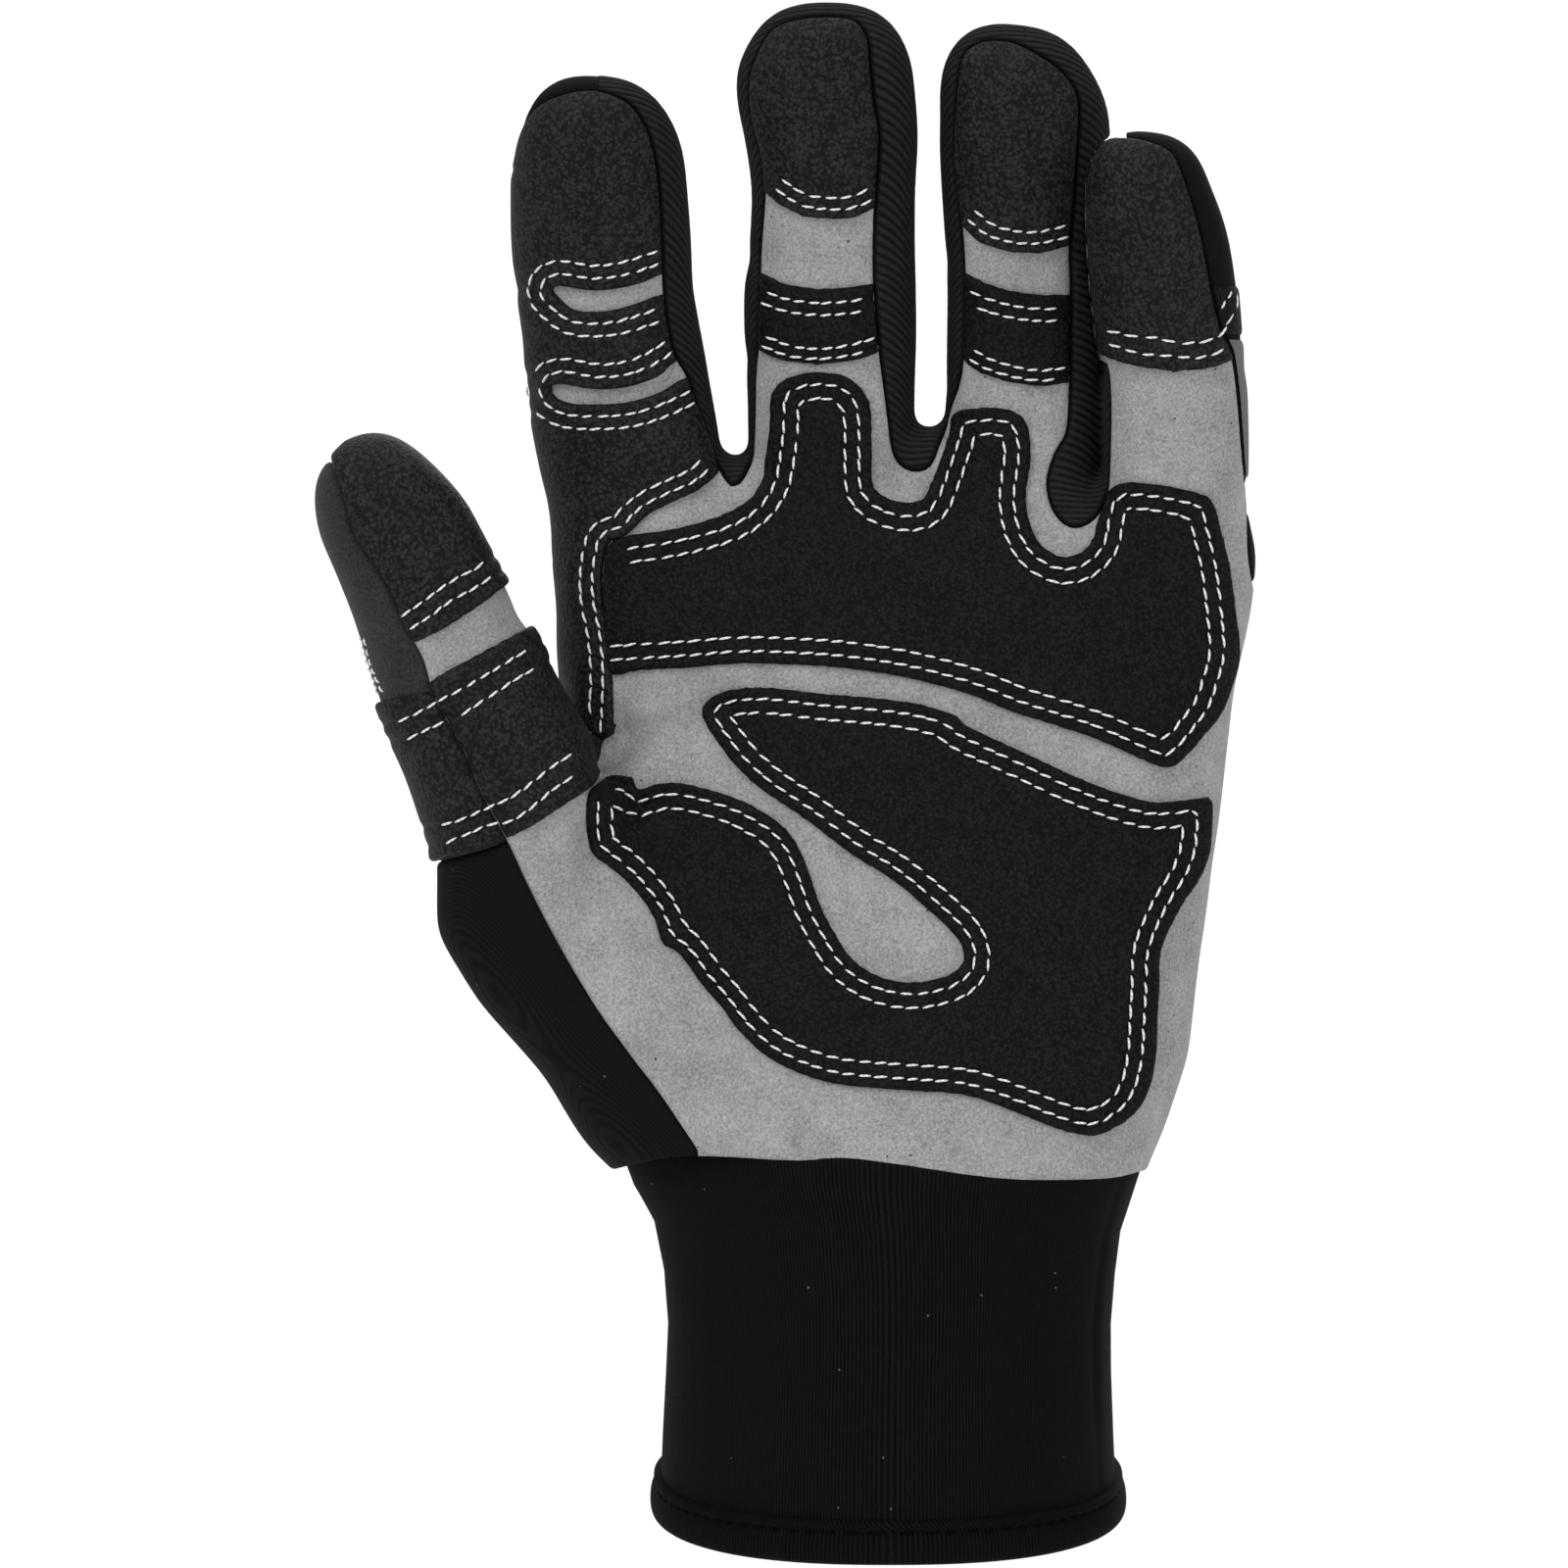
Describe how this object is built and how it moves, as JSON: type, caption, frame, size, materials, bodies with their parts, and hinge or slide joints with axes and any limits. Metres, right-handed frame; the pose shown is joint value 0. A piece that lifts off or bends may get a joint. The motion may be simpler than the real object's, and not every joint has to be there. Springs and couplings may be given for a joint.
{
  "type": "mechanic glove",
  "caption": "Left-hand mechanic glove with a grey palm, black grip patches, ribbed finger sides and a knit cuff, held open as when worn.",
  "frame": {"origin": "centre of the wrist opening, at the cuff's hem", "axes": "+Z from the cuff towards the fingertips, the palm faces -Y, the thumb is on the -X side"},
  "size_m": [0.1479, 0.0697, 0.2452],
  "materials": {
    "grey_suede": "matt synthetic suede",
    "dark_suede": "matt synthetic suede",
    "black_grip": "fine pebbled synthetic leather",
    "stretch_knit": "smooth stretch knit",
    "ribbed_knit": "diagonal ribbed knit",
    "cuff_knit": "fine smooth knit",
    "ribbed_binding": "ribbed woven tape",
    "grey_trim": "matt woven trim"
  },
  "bodies": {
    "root": {"palm_panel": "grey_suede", "back_panel": "stretch_knit", "thumb_back_panel": "dark_suede", "cuff": "cuff_knit", "cuff_binding": "ribbed_binding", "little_side_strip": "grey_trim", "little_side_tab": "black_grip", "fourchette_index_middle": "ribbed_knit", "fourchette_middle_ring": "ribbed_knit", "fourchette_ring_little": "ribbed_knit", "patch_upper_palm": "black_grip", "patch_lower_palm": "black_grip", "patch_index": "black_grip", "patch_middle_tip": "black_grip", "patch_middle_band": "black_grip", "patch_ring_tip": "black_grip", "patch_ring_band": "black_grip", "patch_little_tip": "black_grip", "patch_thumb_tip": "black_grip", "patch_thumb_saddle": "black_grip", "patch_thumb_back_band": "black_grip"}
  },
  "joints": []
}
